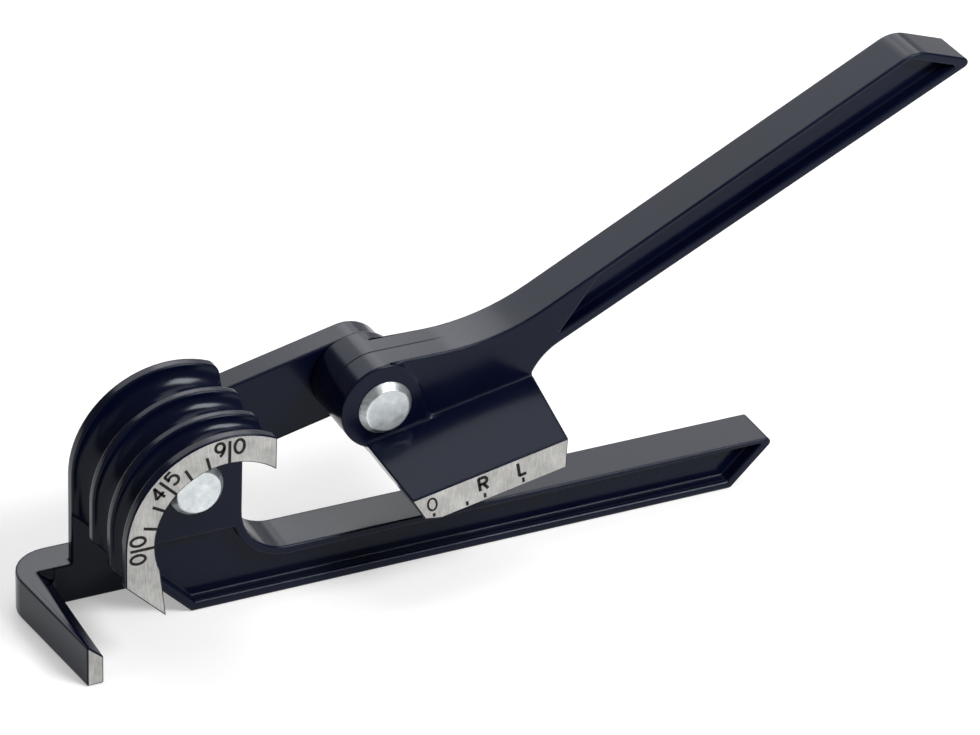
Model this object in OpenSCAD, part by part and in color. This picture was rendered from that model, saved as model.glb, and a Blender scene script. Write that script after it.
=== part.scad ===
// Lever tube bender for three tube sizes: a lower handle cast in one with a grooved forming
// drum and a hook, an upper handle cast in one with a grooved shoe, and a riveted link.
// X runs along the lower handle, Y from the scale side to the link side, Z up.
// The origin is on the bottom of the lower handle, under the drum axis, at mid depth.

/* [Tubes] */
// Radius of the drum's lands, which is the bend radius of the tube's centre line
bend_r = 24; // [22:0.5:28]
// Smallest tube that the tool takes
small_tube = 6; // [5:0.5:7]
// Middle tube
mid_tube = 8; // [7:0.5:9]
// Largest tube
large_tube = 10; // [9:0.5:11]
// How much wider a groove is than its tube
tube_room = 0.4; // [0.1:0.1:0.6]

/* [Drum] */
// Thickness of the flange that carries the scale
ring_t = 2.6; // [2:0.1:4]
// Width of each land between two grooves
land_w = 2.2; // [1.5:0.1:3]
// Thickness of the flange on the link side
flange_t = 2.6; // [2:0.1:4]
// Radial width of the scale ring
ring_w = 6.8; // [5:0.1:8]
// Depth from the scale face to the web that carries the rivet
web_d = 18.5; // [17:0.1:20]
// Distance from the drum axis to its cut face on the handle side
drum_cut = 11.2; // [10.5:0.1:13]
// Radius of the lands' corner at the cut face
land_corner_r = 3; // [1:0.1:4]
// How far the grooves run straight below the zero mark
seat_len = 9.2; // [7:0.1:10]
// How far the ring's inner edge leans in below the zero mark
ring_lean = 2.7; // [1:0.1:4]

/* [Lower handle] */
// Height of the drum axis over the bottom of the tool
axis_h = 32.5; // [31.5:0.1:36]
// Depth of the lower handle
lower_d = 12; // [11:0.1:13]
// Height of the lower handle
lower_h = 11.7; // [10:0.1:12.2]
// Distance from the drum axis to the handle's far top corner
lower_reach = 149; // [110:1:180]
// Radius where the handle meets the drum
root_r = 12; // [8:0.5:13]
// Width of the rim under each channel
rim = 2.1; // [1.5:0.1:2.8]
// Width of the rim over each channel
top_rim = 1.1; // [0.8:0.1:2.1]
// Width of the rim at each handle's slanted end
end_rim = 2.1; // [1.5:0.1:3.5]
// Depth of the channel on each side of a handle
channel_d = 3.2; // [2:0.1:4.4]
// Height of the channel's pocket over the handle's bottom, under the drum rivet
pocket_h = 20; // [17:0.1:21.5]
// Radius of the handles' sharp end corners
tip_r = 1.2; // [0.6:0.1:2]

/* [Hook] */
// Depth of the arm that carries the hook
arm_d = 9; // [7:0.1:10]
// Height of the arm
arm_h = 9.9; // [8.5:0.1:11.5]
// Radius of the bend between the arm and the hook
hook_r = 9.5; // [6:0.1:12]
// Width of the hook's free end
hook_w = 3.8; // [3:0.1:6]
// Angle by which the hook's outer face spreads towards the arm
hook_spread = 7.4; // [4:0.1:11]
// Width of the sloped lead-in on the hook's inner edge
lead_w = 3.4; // [2:0.1:4.5]
// Drop of that lead-in
lead_drop = 3; // [1:0.1:4]

/* [Link] */
// Width of the link
link_w = 18.9; // [17:0.1:20]
// Thickness of the link
link_t = 6.8; // [5:0.1:9]
// Angle of the link over the lower handle, as parked
link_rest = 13.25; // [9:0.25:20]

/* [Shoe] */
// Distance from the shoe's pivot to the axes of its grooves
pivot_rise = 22.9; // [22.5:0.1:25]
// Angle of the shoe's grooves over the lower handle, as parked
shoe_rest = 11.2; // [9:0.1:16]
// Gap between the shoe's lands and the drum's lands when the shoe is over the drum
shoe_gap = 2.1; // [1.5:0.1:2.4]
// Length of the shoe's lands from the pivot towards the grip
shoe_len = 33.6; // [30:0.1:36]
// Length of the shoe's heel behind the pivot
heel_len = 1.8; // [1:0.1:3]
// Height of the bare index face
index_h = 7.5; // [6:0.1:7.8]
// Rise of the sloped face from the index face to the web
slope_h = 5.7; // [4:0.1:6]

/* [Upper handle] */
// Depth from the scale face to the upper handle's own face
grip_d = 19.2; // [18.8:0.1:20]
// Thickness of the upper handle
grip_t = 11.5; // [11:0.1:12.5]
// Radius of the pivot boss
boss_r = 10.6; // [9.8:0.1:11]
// Angle of the grip to the grooves
crank = 16; // [13:0.1:19]
// Height of the grip's middle line over the shoe's lands, under the pivot
grip_rise = 11.8; // [11.2:0.1:12.4]
// Height of the grip at the neck
grip_root_h = 10.4; // [9:0.1:11]
// Height of the grip at its end
grip_end_h = 12.3; // [11:0.1:13]
// Distance of the neck's corner from the pivot, along the grip
neck_u = 44.3; // [43:0.1:46]
// Radius under the neck
neck_r = 14.5; // [12:0.1:16]
// Turn of the radius under the neck, from the grip to the shoe
neck_turn = 36; // [30:1:40]
// Distance of the grip's tip from the pivot, along the grip
grip_len = 161.5; // [120:0.5:200]
// Fall of the casting's back from the boss to the grip, against the grooves
back_fall = 11.2; // [8:0.1:13]
// Radius between the casting's back and the grip
back_r = 55; // [30:1:60]
// Radius of the grip's blunt end corner
grip_corner_r = 9; // [4:0.1:11]
// Length of the channel's slanted start
channel_lead = 14.6; // [8:0.1:20]

/* [Rivets] */
// Diameter of both rivets' shanks
rivet_d = 8; // [6:0.1:9]
// Diameter of a rivet's head at its base
head_d = 13.3; // [12:0.1:14]
// Diameter of the flat on a rivet's head
head_flat_d = 10.4; // [8:0.1:11.5]
// Height of a rivet's head
head_h = 1.9; // [1:0.1:2.5]
// Diameter of a rivet's closed tail
tail_d = 12.4; // [10.5:0.1:13]
// Height of the tail
tail_h = 1.6; // [1:0.1:3]
// Diameter of the friction washers between the castings and the link
friction_d = 17; // [14:0.1:18]
// Thickness of the friction washers
friction_t = 0.6; // [0.4:0.1:1.5]
// Diameter of the washers under the tails
washer_d = 16; // [14:0.1:18]
// Thickness of the washers under the tails
washer_t = 1.2; // [0.8:0.1:2]
// Running clearance round a shank
pivot_play = 0.05; // [0.02:0.01:0.1]

/* [Hidden] */
$fn = 96;

paint = [0.07, 0.08, 0.12];
zinc = [0.78, 0.80, 0.80];
steel = [0.55, 0.56, 0.58];

// Reach of the cutting bodies beyond the solids
over = 1;
far = 300;

// Grooves, from the scale side to the link side
groove_r = [for (tube = [small_tube, mid_tube, large_tube]) (tube + tube_room) / 2];
groove_d = [
  ring_t + groove_r[0],
  ring_t + 2 * groove_r[0] + land_w + groove_r[1],
  ring_t + 2 * groove_r[0] + 2 * groove_r[1] + 2 * land_w + groove_r[2]
];
drum_d = groove_d[2] + groove_r[2] + flange_t;
plate_d = drum_d - flange_t + 0.2;
mid_d = web_d + lower_d / 2;
lower_back_d = web_d + lower_d;
grip_back_d = grip_d + grip_t;

// Lower casting
base_z = -axis_h;
lower_top_z = base_z + lower_h;
bevel = -bend_r - seat_len;
ring_in_r = bend_r - ring_w;
ring_turn = 21.5;
ring_tip_x = -ring_in_r + ring_lean;
hook_in_x = -bend_r - (large_tube + tube_room) / 2;
hook_out_x = hook_in_x - hook_w;
arm_back_d = plate_d + arm_d;
arm_end_x = 4;

// Link and shoe
link_len = bend_r + pivot_rise;
land_t = shoe_gap - pivot_rise;
index_t = land_t + index_h;
slope_t = index_t + slope_h;

// Stack along the rivets
link_d = drum_d + friction_t;
tail_washer_d = link_d + link_t;
tail_start_d = tail_washer_d + washer_t;
shank_r = rivet_d / 2;
bore_r = shank_r + pivot_play;

// Point of the grip u along its middle line and v across it
function grip_pt(u, v) =
  [u * cos(crank) - v * sin(crank), land_t + grip_rise + u * sin(crank) + v * cos(crank)];

// Half the grip's height at u
function grip_half(u) =
  (grip_root_h + (grip_end_h - grip_root_h) * (u - neck_u) / (grip_len - neck_u)) / 2;

// Point of the grip's edge on the given side, set in from the edge
function grip_edge(u, side, set_in = 0) = grip_pt(u, side * (grip_half(u) - set_in));

// Point where a line through p at angle a meets a line through q at angle b
function meet(p, a, q, b) =
  let (d = q - p)
  p + (d[0] * sin(b) - d[1] * cos(b)) / sin(b - a) * [cos(a), sin(a)];

// Points of an arc
function arc(centre, r, from, to, steps = 12) =
  [for (k = [0 : steps]) let (a = from + (to - from) * k / steps) centre + r * [cos(a), sin(a)]];

// Outline with its corners [x, y, r] rounded to their radii
function rounded(corners) =
  let (n = len(corners))
  [for (i = [0 : n - 1]) each bend(corners[(i + n - 1) % n], corners[i], corners[(i + 1) % n])];

function bend(before, corner, after) =
  let (
    c = [corner[0], corner[1]],
    a = [before[0], before[1]] - c,
    b = [after[0], after[1]] - c,
    half = acos(a * b / norm(a) / norm(b)) / 2,
    middle = a / norm(a) + b / norm(b),
    centre = c + middle / norm(middle) * corner[2] / sin(half),
    mouth = 90 - half,
    axis = atan2(-middle[1], -middle[0]),
    side = sign(a[1] * b[0] - a[0] * b[1])
  )
  corner[2] == 0 ? [c] : arc(centre, corner[2], axis - side * mouth, axis + side * mouth, 8);

function corner(p, r) = [p[0], p[1], r];

// Outline in X and Z, extruded from depth d0 to depth d1
module slab(d0, d1) {
  translate([0, d1, 0]) rotate([90, 0, 0]) linear_extrude(d1 - d0) children();
}

// Outline in depth and Z, extruded from x0 to x1
module bar(x0, x1) {
  translate([x0, 0, 0]) rotate([90, 0, 90]) linear_extrude(x1 - x0) children();
}

// Outline in radius and depth, turned about the pivot's axis
module turned() {
  rotate([-90, 0, 0]) rotate_extrude() children();
}

// Places a piece drawn about the drum axis, with its depth counted from the scale face
module at_drum() {
  translate([0, -mid_d, axis_h]) children();
}

// Places a piece drawn about the shoe's pivot
module at_shoe() {
  at_drum() translate([link_len * cos(link_rest), 0, link_len * sin(link_rest)]) children();
}

// Section of the drum from inner to the lands, with its three half-round grooves
module drum_section(inner) {
  difference() {
    translate([inner, 0]) square([bend_r - inner, drum_d]);
    for (i = [0 : 2]) translate([bend_r, groove_d[i]]) circle(groove_r[i]);
  }
}

// Drum: round over the axis, straight below it
module drum_blank() {
  intersection() {
    turned() drum_section(0);
    translate([-far, -over, 0]) cube([far + drum_cut, far, far]);
  }
  translate([0, 0, base_z]) linear_extrude(axis_h) mirror([1, 0]) drum_section(-drum_cut);
}

// Recess behind the scale ring, open towards the handle
module drum_recess() {
  turn = -ring_in_r * [cos(ring_turn), sin(ring_turn)];
  tip = [ring_tip_x, bevel - ring_tip_x];
  slab(-over, web_d) {
    circle(ring_in_r);
    polygon([
      [0, 0],
      turn + 0.2 * (turn - tip),
      tip,
      [ring_tip_x, -far],
      [far, -far],
      [far, 0]
    ]);
  }
}

// Slanted cut under the drum that leaves the tube's way free
module drum_bevel() {
  slab(-over, plate_d) polygon([[-far, bevel + far], [-far, -far], [bevel + far, -far]]);
}

// Rounding of the lands and of the back flange at the cut face
module land_corner() {
  x = drum_cut - land_corner_r;
  z = sqrt(pow(bend_r - land_corner_r, 2) - x * x);
  slab(ring_t + land_corner_r * 0.2, drum_d + over) difference() {
    polygon([[x, z], [x + far, z], [x + far, far], [x + far * x / z, z + far]]);
    translate([x, z]) circle(land_corner_r);
  }
}

module lower_bar() {
  root = [drum_cut + root_r, lower_top_z + root_r];
  slab(web_d, lower_back_d) polygon(concat(
    rounded([
      [bevel + axis_h, base_z, 0],
      [lower_reach - lower_h, base_z, tip_r],
      [lower_reach, lower_top_z, tip_r],
      [root[0], lower_top_z, 0]
    ]),
    arc(root, root_r, 270, 180),
    [[drum_cut, 0], [-seat_len, 0], [-seat_len, -bend_r]]
  ));
}

// Far end of the lower handle's channel
channel_floor_z = base_z + rim;
channel_top_z = lower_top_z - top_rim;
channel_end_x = lower_reach - end_rim * sqrt(2);
channel_end = [
  [channel_end_x - lower_h + rim, channel_floor_z],
  [channel_end_x - top_rim, channel_top_z]
];

// Channel on the scale side: it opens into a pocket under the drum rivet
module front_channel() {
  left_x = ring_tip_x + 1;
  pocket_z = base_z + pocket_h;
  slant = bevel + rim * sqrt(2);
  root = [drum_cut + root_r, lower_top_z + root_r];
  sweep = asin((root[1] - pocket_z) / (root_r + rim));
  polygon(concat(
    [[slant - channel_floor_z, channel_floor_z]],
    channel_end,
    arc(root, root_r + rim, 270, 180 + sweep),
    [[left_x, pocket_z], [left_x, slant - left_x]]
  ));
}

module back_channel() {
  polygon(concat(
    channel_end,
    [[drum_cut + root_r, channel_top_z], [drum_cut + root_r, channel_floor_z]]
  ));
}

// Arm behind the tube's way, bent forward into the hook with its sloped lead-in
module hook() {
  difference() {
    translate([0, 0, base_z]) linear_extrude(arm_h) polygon(rounded([
      [hook_out_x, 0, 0],
      [hook_in_x, 0, 0],
      [hook_in_x, plate_d, 1.5],
      [drum_cut, plate_d, 0],
      [drum_cut, drum_d, 0],
      [arm_end_x, arm_back_d, 0],
      [hook_out_x - arm_back_d * tan(hook_spread), arm_back_d, hook_r]
    ]));
    translate([hook_in_x, 0, base_z + arm_h]) slab(-over, plate_d) polygon([
      [-lead_w, 0],
      [0, -lead_drop],
      [over, -lead_drop],
      [over, over],
      [-lead_w, over]
    ]);
  }
}

// Lower casting: handle, drum and hook in one
module lower_handle() {
  color(paint) at_drum() difference() {
    union() {
      difference() {
        drum_blank();
        drum_recess();
        drum_bevel();
        land_corner();
      }
      lower_bar();
      hook();
    }
    slab(web_d - over, web_d + channel_d) front_channel();
    slab(lower_back_d - channel_d, lower_back_d + over) back_channel();
    slab(0, drum_d + over) circle(bore_r);
  }
}

// Corner between the shoe's end face and the radius under the neck
neck_centre = grip_pt(neck_u, -grip_half(neck_u) - neck_r);
neck_end = neck_centre + neck_r * [cos(crank + 90 + neck_turn), sin(crank + 90 + neck_turn)];
shoe_end_s = shoe_len + (neck_end[0] - shoe_len) * (slope_t - land_t) / (neck_end[1] - land_t);

// Block of the shoe: sloped from the web to the index face and to the back
module shoe_block() {
  difference() {
    slab(0, drum_d) polygon([
      [-boss_r * 0.58, slope_t],
      [-heel_len, land_t + 1.4],
      [-heel_len + 4, land_t],
      [shoe_len, land_t],
      [shoe_end_s, slope_t]
    ]);
    bar(-far, far) {
      polygon([[0, index_t], [web_d, slope_t], [web_d, far], [-far, far], [-far, index_t]]);
      polygon([[drum_d, index_t], [grip_back_d, slope_t], [grip_back_d, far], [far, far], [far, index_t]]);
    }
    for (i = [0 : 2]) translate([-far, groove_d[i], -pivot_rise]) rotate([0, 90, 0])
      cylinder(r = groove_r[i], h = 2 * far);
  }
}

// Plate of the neck and the grip
module grip_plate() {
  back_start = boss_r * [sin(back_fall), cos(back_fall)];
  edge = grip_edge(grip_len, 1) - grip_edge(neck_u, 1);
  back_corner = meet(back_start, -back_fall, grip_edge(neck_u, 1), atan2(edge[1], edge[0]));
  slab(grip_d, grip_back_d) polygon(concat(
    [[0, 0], [0, slope_t], [shoe_end_s, slope_t]],
    arc(neck_centre, neck_r, crank + 90 + neck_turn, crank + 90),
    rounded([
      corner(grip_edge(neck_u, -1), 0),
      corner(grip_edge(grip_len, -1), tip_r),
      corner(grip_edge(grip_len - grip_end_h, 1), grip_corner_r),
      corner(back_corner, back_r),
      corner(back_start, 0)
    ])
  ));
}

module grip_channel() {
  start_u = neck_u + over;
  end_u = grip_len - rim - end_rim * sqrt(2);
  polygon([
    grip_edge(start_u, -1, rim),
    grip_edge(end_u, -1, rim),
    grip_edge(end_u - grip_end_h + rim + top_rim, 1, top_rim),
    grip_edge(start_u + channel_lead, 1, top_rim)
  ]);
}

// Boss of the shoe's pivot, with its foot spread on the shoe
module boss() {
  side_s = boss_r * 0.89;
  slab(grip_d, drum_d) circle(boss_r);
  slab(web_d, grip_d + over) intersection() {
    circle(boss_r);
    polygon(rounded([
      [-far, -far, 0],
      [side_s, -far, 0],
      [side_s, boss_r * 0.2, boss_r],
      [boss_r * 0.5, boss_r, 0],
      [-far, far, 0]
    ]));
  }
  slab(web_d, grip_d + over) polygon(rounded([
    [0, 0, 0],
    [0, slope_t - over, 0],
    [side_s + 2.2, slope_t - over, 0],
    [side_s + 2.2, slope_t, 0],
    [side_s, slope_t, 2],
    [side_s, -boss_r * 0.42, 0]
  ]));
}

// Upper casting: handle, boss and grooved shoe in one
module upper_handle() {
  color(paint) at_shoe() rotate([0, -shoe_rest, 0]) difference() {
    union() {
      shoe_block();
      grip_plate();
      boss();
    }
    slab(grip_d - over, grip_d + channel_d) grip_channel();
    slab(grip_back_d - channel_d, grip_back_d + over) grip_channel();
    slab(0, drum_d + over) circle(bore_r);
  }
}

// Flat bar with round ends that holds the shoe at the bend radius
module link_bar() {
  color(paint) at_drum() rotate([0, -link_rest, 0]) difference() {
    slab(link_d, tail_washer_d) {
      translate([0, -link_w / 2]) square([link_len, link_w]);
      for (x = [0, link_len]) translate([x, 0]) circle(link_w / 2);
    }
    for (x = [0, link_len]) translate([x, 0, 0]) slab(drum_d, tail_start_d) circle(bore_r);
  }
}

// Rivet with a coned head on the web and a closed tail over its washer
module rivet() {
  color(zinc) turned() polygon([
    [0, web_d - head_h],
    [head_flat_d / 2, web_d - head_h],
    [head_d / 2, web_d],
    [shank_r, web_d],
    [shank_r, tail_start_d],
    [tail_d / 2, tail_start_d],
    [tail_d / 2 - tail_h * 0.7, tail_start_d + tail_h],
    [0, tail_start_d + tail_h]
  ]);
}

module washer(start_d, outer, thick) {
  color(steel) slab(start_d, start_d + thick) difference() {
    circle(d = outer);
    circle(bore_r);
  }
}

module drum_rivet() { at_drum() rivet(); }
module drum_friction_washer() { at_drum() washer(drum_d, friction_d, friction_t); }
module drum_tail_washer() { at_drum() washer(tail_washer_d, washer_d, washer_t); }
module shoe_rivet() { at_shoe() rivet(); }
module shoe_friction_washer() { at_shoe() washer(drum_d, friction_d, friction_t); }
module shoe_tail_washer() { at_shoe() washer(tail_washer_d, washer_d, washer_t); }

lower_handle();
upper_handle();
link_bar();
drum_rivet();
drum_friction_washer();
drum_tail_washer();
shoe_rivet();
shoe_friction_washer();
shoe_tail_washer();
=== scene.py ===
import bpy
import numpy as np
from mathutils import Matrix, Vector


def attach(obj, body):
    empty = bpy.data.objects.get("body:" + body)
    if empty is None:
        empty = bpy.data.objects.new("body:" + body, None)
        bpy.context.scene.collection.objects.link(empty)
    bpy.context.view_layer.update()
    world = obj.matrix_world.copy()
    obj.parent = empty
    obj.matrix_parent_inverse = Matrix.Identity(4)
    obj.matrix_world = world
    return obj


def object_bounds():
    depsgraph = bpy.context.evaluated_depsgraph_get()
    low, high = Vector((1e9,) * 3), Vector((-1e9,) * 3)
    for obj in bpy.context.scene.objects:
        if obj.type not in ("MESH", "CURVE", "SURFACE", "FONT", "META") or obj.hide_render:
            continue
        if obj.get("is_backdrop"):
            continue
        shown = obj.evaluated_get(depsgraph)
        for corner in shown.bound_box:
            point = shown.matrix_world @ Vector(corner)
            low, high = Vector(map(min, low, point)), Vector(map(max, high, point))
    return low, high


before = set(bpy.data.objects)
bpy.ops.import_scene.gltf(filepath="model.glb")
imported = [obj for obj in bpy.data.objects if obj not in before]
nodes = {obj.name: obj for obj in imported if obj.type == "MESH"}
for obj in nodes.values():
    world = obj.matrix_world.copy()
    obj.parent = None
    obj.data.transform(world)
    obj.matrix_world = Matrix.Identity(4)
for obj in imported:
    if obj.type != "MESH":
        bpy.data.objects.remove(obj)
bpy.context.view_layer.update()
scene = bpy.context.scene

# Lower casting
# Handle, drum and hook are one aluminium die casting, stoved in glossy blue-black enamel.
# The scale ring's face and the hook's end are machined after painting and stay bare.
# The rims under its channels are well rounded, its other edges a little.
AXIS_Z = 0.0325
FACE_Y = -0.0245
CASTING_EDGE = 0.0003
RIM_RADIUS = 0.0009
ON_PLANE = 1e-5
ON_LINE = 2e-5


def grown(material, kind, place, **values):
    """A node of the given kind in a material, with its constants set on its own sockets."""
    made = material.node_tree.nodes.new(kind)
    made.location = place
    for key, value in values.items():
        if key in made.inputs:
            made.inputs[key].default_value = value
        else:
            setattr(made, key, value)
    return made


def graded(material, place, stops):
    """A colour ramp through the given (position, colour) stops."""
    ramp = grown(material, "ShaderNodeValToRGB", place)
    while len(ramp.color_ramp.elements) < len(stops):
        ramp.color_ramp.elements.new(0.5)
    for element, (position, colour) in zip(ramp.color_ramp.elements, stops):
        element.position = position
        element.color = (*colour, 1.0)
    return ramp


def blue_black_enamel():
    """Stoving enamel: blue-black with faint clouds, orange peel and a paler film on edges."""
    m = bpy.data.materials.new("blue_black_enamel")
    m.use_nodes = True
    link = m.node_tree.links.new
    shader = m.node_tree.nodes["Principled BSDF"]
    shader.inputs["Specular IOR Level"].default_value = 0.17
    shader.inputs["Specular Tint"].default_value = (0.86, 0.94, 1.0, 1.0)
    where = grown(m, "ShaderNodeTexCoord", (-1400, 0))
    cloud = grown(m, "ShaderNodeTexNoise", (-1100, 300),
                  Scale=55.0, Detail=4.0, Roughness=0.55)
    peel = grown(m, "ShaderNodeTexNoise", (-1100, -300), Scale=620.0, Detail=2.0)
    speck = grown(m, "ShaderNodeTexVoronoi", (-1100, 0), Scale=420.0)
    for texture in (cloud, peel, speck):
        link(where.outputs["Object"], texture.inputs["Vector"])
    ground = graded(m, (-850, 300), [(0.3, (0.0012, 0.0022, 0.0120)),
                                     (0.7, (0.0026, 0.0040, 0.0165))])
    link(cloud.outputs["Fac"], ground.inputs["Fac"])
    round_edge = grown(m, "ShaderNodeBevel", (-1100, 600), Radius=0.0008, samples=8)
    flat = grown(m, "ShaderNodeNewGeometry", (-1100, 800))
    edge = grown(m, "ShaderNodeVectorMath", (-850, 650), operation="DOT_PRODUCT")
    link(round_edge.outputs["Normal"], edge.inputs[0])
    link(flat.outputs["Normal"], edge.inputs[1])
    worn = grown(m, "ShaderNodeMapRange", (-650, 650))
    worn.inputs["From Min"].default_value = 0.985
    worn.inputs["From Max"].default_value = 0.86
    worn.inputs["To Max"].default_value = 0.22
    link(edge.outputs["Value"], worn.inputs["Value"])
    patchy = grown(m, "ShaderNodeMath", (-450, 600), operation="MULTIPLY")
    link(worn.outputs["Result"], patchy.inputs[0])
    link(cloud.outputs["Fac"], patchy.inputs[1])
    film = grown(m, "ShaderNodeMix", (-250, 350), data_type="RGBA")
    film.inputs["B"].default_value = (0.05, 0.055, 0.07, 1.0)
    link(patchy.outputs["Value"], film.inputs["Factor"])
    link(ground.outputs["Color"], film.inputs["A"])
    link(film.outputs["Result"], shader.inputs["Base Color"])
    gloss = grown(m, "ShaderNodeMapRange", (-600, 50))
    gloss.inputs["To Min"].default_value = 0.13
    gloss.inputs["To Max"].default_value = 0.23
    link(cloud.outputs["Fac"], gloss.inputs["Value"])
    link(gloss.outputs["Result"], shader.inputs["Roughness"])
    dust = grown(m, "ShaderNodeMapRange", (-850, -50))
    dust.inputs["From Max"].default_value = 0.18
    dust.inputs["To Min"].default_value = 1.0
    dust.inputs["To Max"].default_value = 0.0
    link(speck.outputs["Distance"], dust.inputs["Value"])
    height = grown(m, "ShaderNodeMath", (-600, -250), operation="MULTIPLY_ADD")
    height.inputs[1].default_value = 0.25
    link(dust.outputs["Result"], height.inputs[0])
    link(peel.outputs["Fac"], height.inputs[2])
    skin = grown(m, "ShaderNodeBump", (-300, -250), Strength=0.08, Distance=0.0001)
    link(height.outputs["Value"], skin.inputs["Height"])
    link(round_edge.outputs["Normal"], skin.inputs["Normal"])
    link(skin.outputs["Normal"], shader.inputs["Normal"])
    return m


def bare_aluminium():
    """Machined casting: metal with short fine scratches in two leanings and grey patches."""
    m = bpy.data.materials.new("bare_aluminium")
    m.use_nodes = True
    link = m.node_tree.links.new
    shader = m.node_tree.nodes["Principled BSDF"]
    shader.inputs["Metallic"].default_value = 0.85
    where = grown(m, "ShaderNodeTexCoord", (-1400, 0))
    patch = grown(m, "ShaderNodeTexNoise", (-900, 350),
                  Scale=260.0, Detail=5.0, Roughness=0.6)
    link(where.outputs["Object"], patch.inputs["Vector"])
    scratches = []
    for turn, stretch, place in ((0.35, (2600.0, 1.0, 260.0), 0),
                                 (-0.5, (3400.0, 1.0, 420.0), -300)):
        lean = grown(m, "ShaderNodeMapping", (-1150, place))
        lean.inputs["Rotation"].default_value = (0.0, turn, 0.0)
        lean.inputs["Scale"].default_value = stretch
        link(where.outputs["Object"], lean.inputs["Vector"])
        scratch = grown(m, "ShaderNodeTexNoise", (-900, place),
                        Scale=1.0, Detail=3.0, Roughness=0.7)
        link(lean.outputs["Vector"], scratch.inputs["Vector"])
        scratches.append(scratch)
    both = grown(m, "ShaderNodeMix", (-650, -100), data_type="FLOAT")
    link(patch.outputs["Fac"], both.inputs["Factor"])
    link(scratches[0].outputs["Fac"], both.inputs["A"])
    link(scratches[1].outputs["Fac"], both.inputs["B"])
    tone = grown(m, "ShaderNodeMath", (-450, 200), operation="MULTIPLY_ADD")
    tone.inputs[1].default_value = 0.55
    link(patch.outputs["Fac"], tone.inputs[0])
    link(both.outputs["Result"], tone.inputs[2])
    colour = graded(m, (-250, 250), [(0.5, (0.25, 0.248, 0.240)),
                                     (0.78, (0.42, 0.416, 0.402)),
                                     (0.95, (0.54, 0.536, 0.519))])
    link(tone.outputs["Value"], colour.inputs["Fac"])
    link(colour.outputs["Color"], shader.inputs["Base Color"])
    rough = grown(m, "ShaderNodeMapRange", (-250, 0))
    rough.inputs["To Min"].default_value = 0.38
    rough.inputs["To Max"].default_value = 0.62
    link(both.outputs["Result"], rough.inputs["Value"])
    link(rough.outputs["Result"], shader.inputs["Roughness"])
    grooves = grown(m, "ShaderNodeBump", (-250, -250), Strength=0.22, Distance=0.00006)
    link(both.outputs["Result"], grooves.inputs["Height"])
    link(grooves.outputs["Normal"], shader.inputs["Normal"])
    return m


def on_lines(piece, lines):
    """Numbers of a solid's corners that lie on the straight lines between the pairs of points."""
    corners = np.empty(len(piece.data.vertices) * 3)
    piece.data.vertices.foreach_get("co", corners)
    corners = corners.reshape(-1, 3)
    found = np.zeros(len(corners), bool)
    for start, end in np.asarray(lines, float):
        length = np.linalg.norm(end - start)
        along = (end - start) / length
        reach = (corners - start) @ along
        gap = np.linalg.norm(corners - start - np.outer(reach, along), axis=1)
        found |= (gap < ON_LINE) & (reach > -5 * ON_LINE) & (reach < length + 5 * ON_LINE)
    return np.flatnonzero(found).tolist()


def finished(piece, materials, edge_radius, bare_plane=None, rims=()):
    """Gives a solid its finishes and soft edges.

    The triangles are joined and the flats made whole, so that only real edges are rounded.
    Faces in the bare plane take the second material.
    """
    mesh = piece.data
    mesh.materials.clear()
    for material in materials:
        mesh.materials.append(material)
    count = len(mesh.polygons)
    index = np.zeros(count, np.int32)
    if bare_plane is not None:
        corners = np.empty(len(mesh.vertices) * 3)
        mesh.vertices.foreach_get("co", corners)
        used = np.empty(count * 3, np.int32)
        mesh.polygons.foreach_get("vertices", used)
        depth = corners.reshape(-1, 3)[used.reshape(-1, 3), 1]
        index[np.abs(depth - bare_plane).max(axis=1) < ON_PLANE] = 1
    mesh.polygons.foreach_set("material_index", index)
    mesh.polygons.foreach_set("use_smooth", np.ones(count, bool))
    joined = piece.modifiers.new("joined", "WELD")
    joined.merge_threshold = 2e-6
    whole = piece.modifiers.new("whole_flats", "DECIMATE")
    whole.decimate_type = "DISSOLVE"
    whole.angle_limit = np.radians(0.6)
    whole.delimit = {"MATERIAL", "NORMAL"}
    if rims:
        group = piece.vertex_groups.new(name="rims")
        group.add(on_lines(piece, rims), 1.0, "REPLACE")
        rounded = piece.modifiers.new("rounded_rims", "BEVEL")
        rounded.width = RIM_RADIUS
        rounded.segments = 6
        rounded.limit_method = "VGROUP"
        rounded.vertex_group = "rims"
        rounded.use_clamp_overlap = False
        rounded.material = 0
    soft = piece.modifiers.new("soft_edges", "BEVEL")
    soft.width = edge_radius
    soft.segments = 3
    soft.limit_method = "ANGLE"
    soft.angle_limit = np.radians(28)
    soft.use_clamp_overlap = False
    soft.miter_outer = "MITER_ARC"
    soft.material = 0
    soft.face_strength_mode = "FSTR_ALL"
    even = piece.modifiers.new("even_light", "WEIGHTED_NORMAL")
    even.use_face_influence = True


enamel = blue_black_enamel()
aluminium = bare_aluminium()
lower_rims = [((0.00017, -0.006, 0.0021), (0.13643, -0.006, 0.0021)),
              ((0.0232, 0.006, 0.0021), (0.13643, 0.006, 0.0021))]
finished(nodes["lower_handle"], [enamel, aluminium], CASTING_EDGE, FACE_Y, lower_rims)

# Scale on the drum's ring
# Black paint rubbed into shallow marks: long lines at 0, 45 and 90 degrees with their
# figures either side, and a short tick each 15 degrees between them.
MM = 0.001
MARK_DEPTH, MARK_RISE = -2e-5, 4e-5
SCALE_IN, TICK_OUT, LINE_OUT = 17.35, 20.6, 23.0
FIGURE_RADIUS, FIGURE_HEIGHT, FIGURE_OFFSET = 21.2, 3.7, 2.3
LINE_WIDTH, FIGURE_WIDTH = 0.0007, 0.00068


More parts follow.
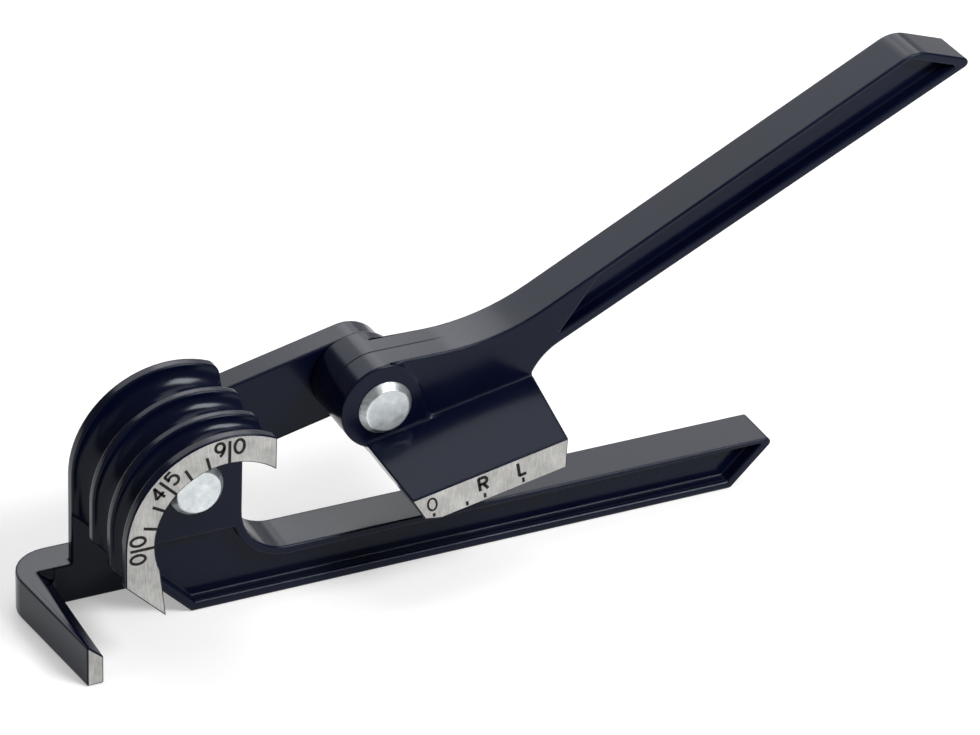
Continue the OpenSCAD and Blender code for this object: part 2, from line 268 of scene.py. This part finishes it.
def ribbon(path, width):
    """A flat band along a plane path: a rectangle of the width, from just under to just over
    the marked face, carried square to the path."""
    path = np.asarray(path, float)
    along = np.gradient(path, axis=0)
    along /= np.linalg.norm(along, axis=1, keepdims=True)
    across = np.stack([-along[:, 1], along[:, 0]], axis=1) * width / 2
    left, right = path + across, path - across
    n = len(path)
    low, high = np.full(n, MARK_DEPTH), np.full(n, MARK_RISE)
    rows = np.stack([np.c_[left, low], np.c_[left, high],
                     np.c_[right, high], np.c_[right, low]], axis=1)
    grid = np.arange(n * 4).reshape(n, 4)
    a, b = grid[:-1], grid[1:]
    sides = np.stack([a, np.roll(a, -1, axis=1), np.roll(b, -1, axis=1), b], axis=2).reshape(-1, 4)
    caps = np.stack([grid[0, ::-1], grid[-1]])
    return rows.reshape(-1, 3), np.concatenate([sides, caps])


def ellipse(centre, radii, start, end, steps=40):
    """Points of an ellipse from one angle to another, counter-clockwise in degrees."""
    a = np.radians(np.linspace(start, end, steps))
    return np.c_[centre[0] + radii[0] * np.cos(a), centre[1] + radii[1] * np.sin(a)]


def line(x0, y0, x1, y1):
    """Points of a straight stroke."""
    return np.linspace((x0, y0), (x1, y1), 5)


# Strokes of each figure in a box one unit high, centred
strokes = {
    "0": [ellipse((0, 0), (0.30, 0.46), 0, 362)],
    "4": [line(0.12, -0.5, 0.12, 0.5), line(0.14, 0.47, -0.32, -0.20),
          line(-0.33, -0.18, 0.33, -0.18)],
    "5": [line(0.26, 0.45, -0.22, 0.45), line(-0.21, 0.48, -0.25, 0.0),
          ellipse((-0.02, -0.15), (0.31, 0.32), 138, -140)],
    "9": [ellipse((0.0, 0.16), (0.28, 0.30), 0, 362),
          ellipse((-0.12, 0.14), (0.40, 0.62), 0, -72)],
    "R": [line(-0.26, -0.5, -0.26, 0.5), line(-0.28, 0.46, 0.06, 0.46),
          line(-0.28, -0.02, 0.06, -0.02), ellipse((0.06, 0.22), (0.24, 0.24), 90, -90),
          line(0.02, -0.02, 0.30, -0.5)],
    "L": [line(-0.22, -0.5, -0.22, 0.5), line(-0.25, -0.46, 0.28, -0.46)],
}


def marked(name, bands, place):
    """One mesh of all bands; place takes their points and heights to points in the frame."""
    points, faces, count = [], [], 0
    for v, f in bands:
        points.append(v)
        faces.append(f + count)
        count += len(v)
    mesh = bpy.data.meshes.new(name)
    corners = place(np.concatenate(points)).tolist()
    mesh.from_pydata(corners, [], np.concatenate(faces).tolist())
    mesh.update()
    made = bpy.data.objects.new(name, mesh)
    scene.collection.objects.link(made)
    return made


def mark_paint():
    """Matt black paint in shallow marks, thinner and greyer in places."""
    m = bpy.data.materials.new("mark_paint")
    m.use_nodes = True
    link = m.node_tree.links.new
    shader = m.node_tree.nodes["Principled BSDF"]
    shader.inputs["Specular IOR Level"].default_value = 0.15
    where = grown(m, "ShaderNodeTexCoord", (-900, 0))
    thin = grown(m, "ShaderNodeTexNoise", (-700, 0),
                 Scale=1500.0, Detail=4.0, Roughness=0.65)
    link(where.outputs["Object"], thin.inputs["Vector"])
    colour = graded(m, (-450, 100), [(0.45, (0.008, 0.008, 0.009)),
                                     (0.68, (0.03, 0.03, 0.03)),
                                     (0.82, (0.15, 0.15, 0.143))])
    link(thin.outputs["Fac"], colour.inputs["Fac"])
    link(colour.outputs["Color"], shader.inputs["Base Color"])
    rough = grown(m, "ShaderNodeMapRange", (-450, -150))
    rough.inputs["To Min"].default_value = 0.45
    rough.inputs["To Max"].default_value = 0.75
    link(thin.outputs["Fac"], rough.inputs["Value"])
    link(rough.outputs["Result"], shader.inputs["Roughness"])
    return m


ring_bands = []
for degrees in (180, 165, 150, 135, 120, 105, 90):
    out = np.array([np.cos(np.radians(degrees)), np.sin(np.radians(degrees))])
    clockwise = np.array([out[1], -out[0]])
    long_line = degrees % 45 == 0
    reach = np.linspace(SCALE_IN, LINE_OUT if long_line else TICK_OUT, 5)
    ring_bands.append(ribbon(np.outer(reach, out) * MM, LINE_WIDTH))
    if long_line:
        figures = {180: "00", 135: "45", 90: "90"}[degrees]
        for figure, side in zip(figures, (-1, 1)):
            for path in strokes[figure]:
                across = path[:, :1] * FIGURE_HEIGHT + side * FIGURE_OFFSET
                upward = path[:, 1:] * FIGURE_HEIGHT + FIGURE_RADIUS
                flat = across * clockwise + upward * out
                ring_bands.append(ribbon(flat * MM, FIGURE_WIDTH))
ring_marks = marked("scale_marks", ring_bands,
                    lambda p: np.c_[p[:, 0], FACE_Y - p[:, 2], p[:, 1] + AXIS_Z])
ink = mark_paint()
ring_marks.data.materials.append(ink)
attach(ring_marks, "lower_handle")

# Upper casting
# Cranked handle, pivot boss and grooved shoe in one die casting with the same enamel.
# The shoe's front face is machined bare and carries the index marks.
upper_rims = [((0.0891109, y, 0.052363), (0.1883633, y, 0.1023591))
              for y in (-0.0053, 0.0062)]
finished(nodes["upper_handle"], [enamel, aluminium], CASTING_EDGE, FACE_Y, upper_rims)

# Mould seam
# The thin line of flash that the two halves of the mould leave over the boss and the neck.
# Part of the upper casting and under the same enamel, trimmed almost flush.
LINK_LENGTH, LINK_TURN = 0.0469, np.radians(13.25)
PIVOT = np.array([LINK_LENGTH * np.cos(LINK_TURN), AXIS_Z + LINK_LENGTH * np.sin(LINK_TURN)])
BOSS_RADIUS, BACK_RADIUS, NECK_LENGTH = 0.0106, 0.055, 0.0148
SEAM_Y, SEAM_WIDTH, SEAM_RISE = 0.0010, 0.00034, 0.00011


def flash(path, depth, width, rise):
    """A low ridge along a plane path at one depth: half an ellipse of the width and rise,
    sunk by a tenth of its rise and fading out over six points at both ends."""
    path = np.asarray(path, float)
    along = np.gradient(path, axis=0)
    along /= np.linalg.norm(along, axis=1, keepdims=True)
    out = np.stack([-along[:, 1], along[:, 0]], axis=1)
    step = np.arange(len(path))
    fade = np.clip(np.minimum(step, step[::-1]) / 6.0, 0.15, 1.0)
    a = np.linspace(0, np.pi, 9)
    lift = (np.sin(a)[None, :] * 1.1 - 0.1) * rise * fade[:, None]
    points = np.empty((len(path), len(a), 3))
    points[:, :, 0] = path[:, :1] + out[:, :1] * lift
    points[:, :, 1] = depth + np.cos(a)[None, :] * width / 2
    points[:, :, 2] = path[:, 1:] + out[:, 1:] * lift
    grid = np.arange(points.shape[0] * points.shape[1]).reshape(points.shape[:2])
    faces = np.stack([grid[:-1, :-1], grid[1:, :-1], grid[1:, 1:], grid[:-1, 1:]], axis=2)
    return points.reshape(-1, 3), faces.reshape(-1, 4)


over_boss = ellipse(PIVOT, (BOSS_RADIUS, BOSS_RADIUS), 172, 90, 28)
over_neck = np.c_[np.linspace(PIVOT[0], PIVOT[0] + NECK_LENGTH, 14)[1:],
                  np.full(13, PIVOT[1] + BOSS_RADIUS)]
up_grip = ellipse(PIVOT + (NECK_LENGTH, BOSS_RADIUS + BACK_RADIUS),
                  (BACK_RADIUS, BACK_RADIUS), 270, 273, 6)[1:]
seam_points, seam_faces = flash(np.concatenate([over_boss, over_neck, up_grip]),
                                SEAM_Y, SEAM_WIDTH, SEAM_RISE)
mould_seam = marked("mould_seam", [(seam_points, seam_faces)], lambda p: p)
mould_seam.data.polygons.foreach_set("use_smooth", np.ones(len(seam_faces), bool))
mould_seam.data.materials.append(enamel)
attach(mould_seam, "upper_handle")

# Index marks on the shoe
# The same black paint: a figure over the line that meets the scale, and two lettered lines
# for right-hand and left-hand bends.
SHOE_TURN = np.radians(11.2)
INDEX_HEIGHT = 3.5
TICK_WIDTH = 0.00065
THIN_STROKE, BOLD_STROKE = 0.0005, 0.00078


def on_shoe(p):
    """Takes points drawn along and across the shoe's grooves, from its pivot, to its face."""
    c, s = np.cos(SHOE_TURN), np.sin(SHOE_TURN)
    along = PIVOT[0] + c * p[:, 0] - s * p[:, 1]
    upward = PIVOT[1] + s * p[:, 0] + c * p[:, 1]
    return np.c_[along, FACE_Y - p[:, 2], upward]


index_bands = []
for figure, s, t in (("0", 0.5, -16.2), ("R", 13.2, -16.1), ("L", 22.9, -16.3)):
    stroke_width = THIN_STROKE if figure == "0" else BOLD_STROKE
    for path in strokes[figure]:
        index_bands.append(ribbon((path * INDEX_HEIGHT + (s, t)) * MM, stroke_width))
for s, low, high in ((0.5, -19.6, -18.7), (8.7, -20.2, -19.1),
                     (13.2, -20.0, -18.8), (22.9, -20.1, -18.8)):
    index_bands.append(ribbon(line(s, low, s, high) * MM, TICK_WIDTH))
index_marks = marked("index_marks", index_bands, on_shoe)
index_marks.data.materials.append(ink)
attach(index_marks, "upper_handle")

# Link
# Flat steel bar with round ends, punched out of plate and enamelled like the castings.
# It turns on both rivets behind the drum and the boss; punching leaves its edges soft.
LINK_EDGE = 0.00045
finished(nodes["link_bar"], [enamel], LINK_EDGE)

# Rivets
# Zinc-plated steel: a coned head on the scale side and a tail closed over its washer.
# The plating is bright but cloudy, with small dents from the riveting tool.
RIVET_EDGE = 0.0003


def bright_zinc():
    """Zinc plate: pale metal with soft cloudy patches, fine pits and uneven gloss."""
    m = bpy.data.materials.new("bright_zinc")
    m.use_nodes = True
    link = m.node_tree.links.new
    shader = m.node_tree.nodes["Principled BSDF"]
    shader.inputs["Metallic"].default_value = 0.95
    where = grown(m, "ShaderNodeTexCoord", (-1100, 0))
    cloud = grown(m, "ShaderNodeTexNoise", (-850, 200),
                  Scale=420.0, Detail=6.0, Roughness=0.62)
    pits = grown(m, "ShaderNodeTexVoronoi", (-850, -150), Scale=900.0)
    for texture in (cloud, pits):
        link(where.outputs["Object"], texture.inputs["Vector"])
    colour = graded(m, (-600, 250), [(0.32, (0.52, 0.56, 0.57)),
                                     (0.55, (0.66, 0.70, 0.71)),
                                     (0.72, (0.80, 0.83, 0.83))])
    link(cloud.outputs["Fac"], colour.inputs["Fac"])
    link(colour.outputs["Color"], shader.inputs["Base Color"])
    rough = grown(m, "ShaderNodeMapRange", (-600, 0))
    rough.inputs["To Min"].default_value = 0.22
    rough.inputs["To Max"].default_value = 0.5
    link(cloud.outputs["Fac"], rough.inputs["Value"])
    link(rough.outputs["Result"], shader.inputs["Roughness"])
    height = grown(m, "ShaderNodeMath", (-600, -250), operation="MULTIPLY_ADD")
    height.inputs[1].default_value = 0.5
    link(pits.outputs["Distance"], height.inputs[0])
    link(cloud.outputs["Fac"], height.inputs[2])
    dents = grown(m, "ShaderNodeBump", (-350, -250), Strength=0.3, Distance=0.0001)
    link(height.outputs["Value"], dents.inputs["Height"])
    link(dents.outputs["Normal"], shader.inputs["Normal"])
    return m


zinc = bright_zinc()
for rivet in ("drum_rivet", "shoe_rivet"):
    finished(nodes[rivet], [zinc], RIVET_EDGE)

# Washers
# Stamped from plain rolled steel and threaded on the rivets' shanks.
# A thin wide one lies between each casting and the link, a thicker one under each tail.
WASHER_EDGE = 0.0001


def rolled_steel():
    """Rolled strip: grey metal with fine lines along the rolling direction and dull patches."""
    m = bpy.data.materials.new("rolled_steel")
    m.use_nodes = True
    link = m.node_tree.links.new
    shader = m.node_tree.nodes["Principled BSDF"]
    shader.inputs["Metallic"].default_value = 1.0
    where = grown(m, "ShaderNodeTexCoord", (-1100, 0))
    rolled = grown(m, "ShaderNodeMapping", (-900, 0))
    rolled.inputs["Scale"].default_value = (120.0, 400.0, 3000.0)
    link(where.outputs["Object"], rolled.inputs["Vector"])
    lines = grown(m, "ShaderNodeTexNoise", (-700, 0), Scale=1.0, Detail=4.0)
    link(rolled.outputs["Vector"], lines.inputs["Vector"])
    colour = graded(m, (-450, 150), [(0.35, (0.30, 0.305, 0.31)),
                                     (0.7, (0.50, 0.505, 0.51))])
    link(lines.outputs["Fac"], colour.inputs["Fac"])
    link(colour.outputs["Color"], shader.inputs["Base Color"])
    rough = grown(m, "ShaderNodeMapRange", (-450, -100))
    rough.inputs["To Min"].default_value = 0.3
    rough.inputs["To Max"].default_value = 0.5
    link(lines.outputs["Fac"], rough.inputs["Value"])
    link(rough.outputs["Result"], shader.inputs["Roughness"])
    return m


strip = rolled_steel()
for washer in ("drum_friction_washer", "shoe_friction_washer",
               "drum_tail_washer", "shoe_tail_washer"):
    finished(nodes[washer], [strip], WASHER_EDGE)

# Studio
# A white table in pale surroundings. Soft boxes behind and overhead draw the top faces,
# one in front to the right draws the streaks in the grooves and the light lines on the
# rims, and weak ones fill in from the right, the far end and the front.
TABLE_HALF, TABLE_Z = 4.0, -1e-4
TABLE_GLOW, SURROUND_GLOW = 0.36, 0.19
floor_mesh = bpy.data.meshes.new("table_top")
floor_mesh.from_pydata([(x * TABLE_HALF, y * TABLE_HALF, TABLE_Z)
                        for x, y in ((-1, -1), (1, -1), (1, 1), (-1, 1))], [], [(0, 1, 2, 3)])
table_top = bpy.data.objects.new("table_top", floor_mesh)
scene.collection.objects.link(table_top)
white = bpy.data.materials.new("white_table")
white.use_nodes = True
paper = white.node_tree.nodes["Principled BSDF"]
paper.inputs["Base Color"].default_value = (0.72, 0.72, 0.72, 1.0)
paper.inputs["Roughness"].default_value = 0.9
paper.inputs["Specular IOR Level"].default_value = 0.1
paper.inputs["Emission Color"].default_value = (1.0, 1.0, 1.0, 1.0)
way = grown(white, "ShaderNodeLightPath", (-900, 0))
looked = grown(white, "ShaderNodeMath", (-650, 100), operation="MAXIMUM")
link = white.node_tree.links.new
link(way.outputs["Is Camera Ray"], looked.inputs[0])
link(way.outputs["Is Glossy Ray"], looked.inputs[1])
through = grown(white, "ShaderNodeMath", (-450, 50), operation="MAXIMUM")
link(looked.outputs["Value"], through.inputs[0])
link(way.outputs["Is Transmission Ray"], through.inputs[1])
glow = grown(white, "ShaderNodeMath", (-250, 0), operation="MULTIPLY")
glow.inputs[1].default_value = TABLE_GLOW
link(through.outputs["Value"], glow.inputs[0])
link(glow.outputs["Value"], paper.inputs["Emission Strength"])
floor_mesh.materials.append(white)
table_top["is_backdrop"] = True

world = bpy.data.worlds.new("studio")
scene.world = world
world.use_nodes = True
surround = world.node_tree.nodes["Background"]
surround.inputs["Color"].default_value = (1.0, 1.0, 1.0, 1.0)
surround.inputs["Strength"].default_value = SURROUND_GLOW


def standing(right, up, back, place):
    """The matrix of a lamp or camera from its own three axes and its place."""
    matrix = np.eye(4)
    matrix[:3, 0], matrix[:3, 1], matrix[:3, 2], matrix[:3, 3] = right, up, back, place
    return Matrix(matrix.tolist())


def soft_light(name, place, aim, wide, high, power):
    """A flat soft box of the given width and height at place, turned towards aim."""
    lamp = bpy.data.lights.new(name, "AREA")
    lamp.shape = "RECTANGLE"
    lamp.size = wide
    lamp.size_y = high
    lamp.energy = power
    made = bpy.data.objects.new(name, lamp)
    scene.collection.objects.link(made)
    back = np.array(place, float) - np.array(aim, float)
    back /= np.linalg.norm(back)
    side = np.cross((0.0, 0.0, 1.0), back)
    side /= np.linalg.norm(side)
    made.matrix_world = standing(side, np.cross(back, side), back, place)
    made.visible_camera = False


soft_light("back_box", (0.16, 0.86, 0.68), (0.03, 0.0, 0.03), 1.25, 0.50, 5.1)
soft_light("warm_spot", (0.28, 0.80, 0.64), (0.03, 0.0, 0.03), 0.30, 0.20, 0.45)
soft_light("top_box", (0.12, 0.32, 1.05), (0.03, 0.0, 0.03), 0.45, 0.45, 1.7)
soft_light("bar_box", (0.36, -0.07, 1.03), (0.0, 0.0, 0.04), 0.20, 0.75, 1.2)
soft_light("right_box", (0.66, -0.45, 0.74), (0.0, 0.0, 0.04), 0.55, 0.45, 0.3)
soft_light("rim_box", (0.48, -0.63, 0.80), (0.05, 0.0, 0.02), 0.46, 0.38, 10.5)
soft_light("end_box", (0.62, 0.72, 0.27), (0.15, 0.0, 0.09), 0.50, 0.40, 0.36)
soft_light("front_box", (-0.75, -0.95, 0.42), (0.05, 0.0, 0.03), 0.60, 0.50, 0.3)

# Camera
# Long lens, from the left and above, as the tool was photographed.
# Its turn, distance and shift were solved from the photograph's perspective.
DISTANCE, SHIFT_RIGHT, SHIFT_UP = 0.960, 0.056929, 0.035575
azimuth, elevation, roll = np.radians([-27.337, 30.745, 2.841])
back = np.array([np.sin(azimuth) * np.cos(elevation),
                 -np.cos(azimuth) * np.cos(elevation),
                 np.sin(elevation)])
level_right = np.array([np.cos(azimuth), np.sin(azimuth), 0.0])
level_up = np.cross(back, level_right)
right = np.cos(roll) * level_right + np.sin(roll) * level_up
up = -np.sin(roll) * level_right + np.cos(roll) * level_up
stand = (np.array([0.0, FACE_Y, AXIS_Z])
         + SHIFT_RIGHT * right + SHIFT_UP * up + DISTANCE * back)
camera_data = bpy.data.cameras.new("camera")
camera_data.lens = 161.9
camera_data.sensor_width = 36.0
camera_data.clip_start = 0.05
camera_data.clip_end = 20.0
camera = bpy.data.objects.new("camera", camera_data)
scene.collection.objects.link(camera)
camera.matrix_world = standing(right, up, back, stand)
scene.camera = camera
scene.view_settings.view_transform = "Standard"

low, high = (list(c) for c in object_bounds())
